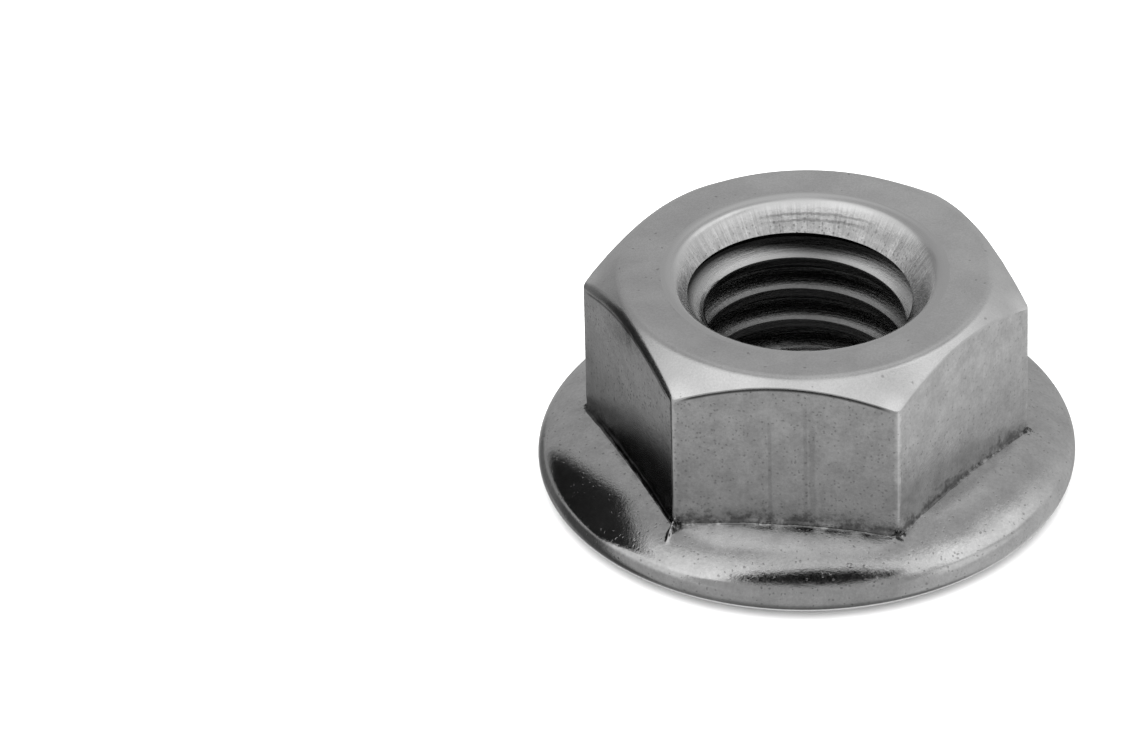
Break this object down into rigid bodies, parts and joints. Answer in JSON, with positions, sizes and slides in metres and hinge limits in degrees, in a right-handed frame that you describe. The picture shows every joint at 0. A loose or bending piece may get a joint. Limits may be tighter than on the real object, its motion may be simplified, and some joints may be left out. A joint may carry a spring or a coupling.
{
  "type": "serrated flange nut",
  "caption": "Hexagon nut with a built-in round flange whose underside carries swept locking serrations round a recess; right-hand M8 coarse thread.",
  "frame": {"origin": "centre of the bearing plane that the crests of the serrations lie in, on the axis of the thread", "axes": "+Z along the axis of the thread from the bearing plane towards the hexagon's top face; +X through a corner of the hexagon"},
  "size_m": [0.018, 0.018, 0.0077],
  "materials": {
    "stainless_steel": "bright cold-forged stainless steel, satin on the flats"
  },
  "bodies": {
    "root": {"flange_nut": "stainless_steel"}
  },
  "joints": []
}
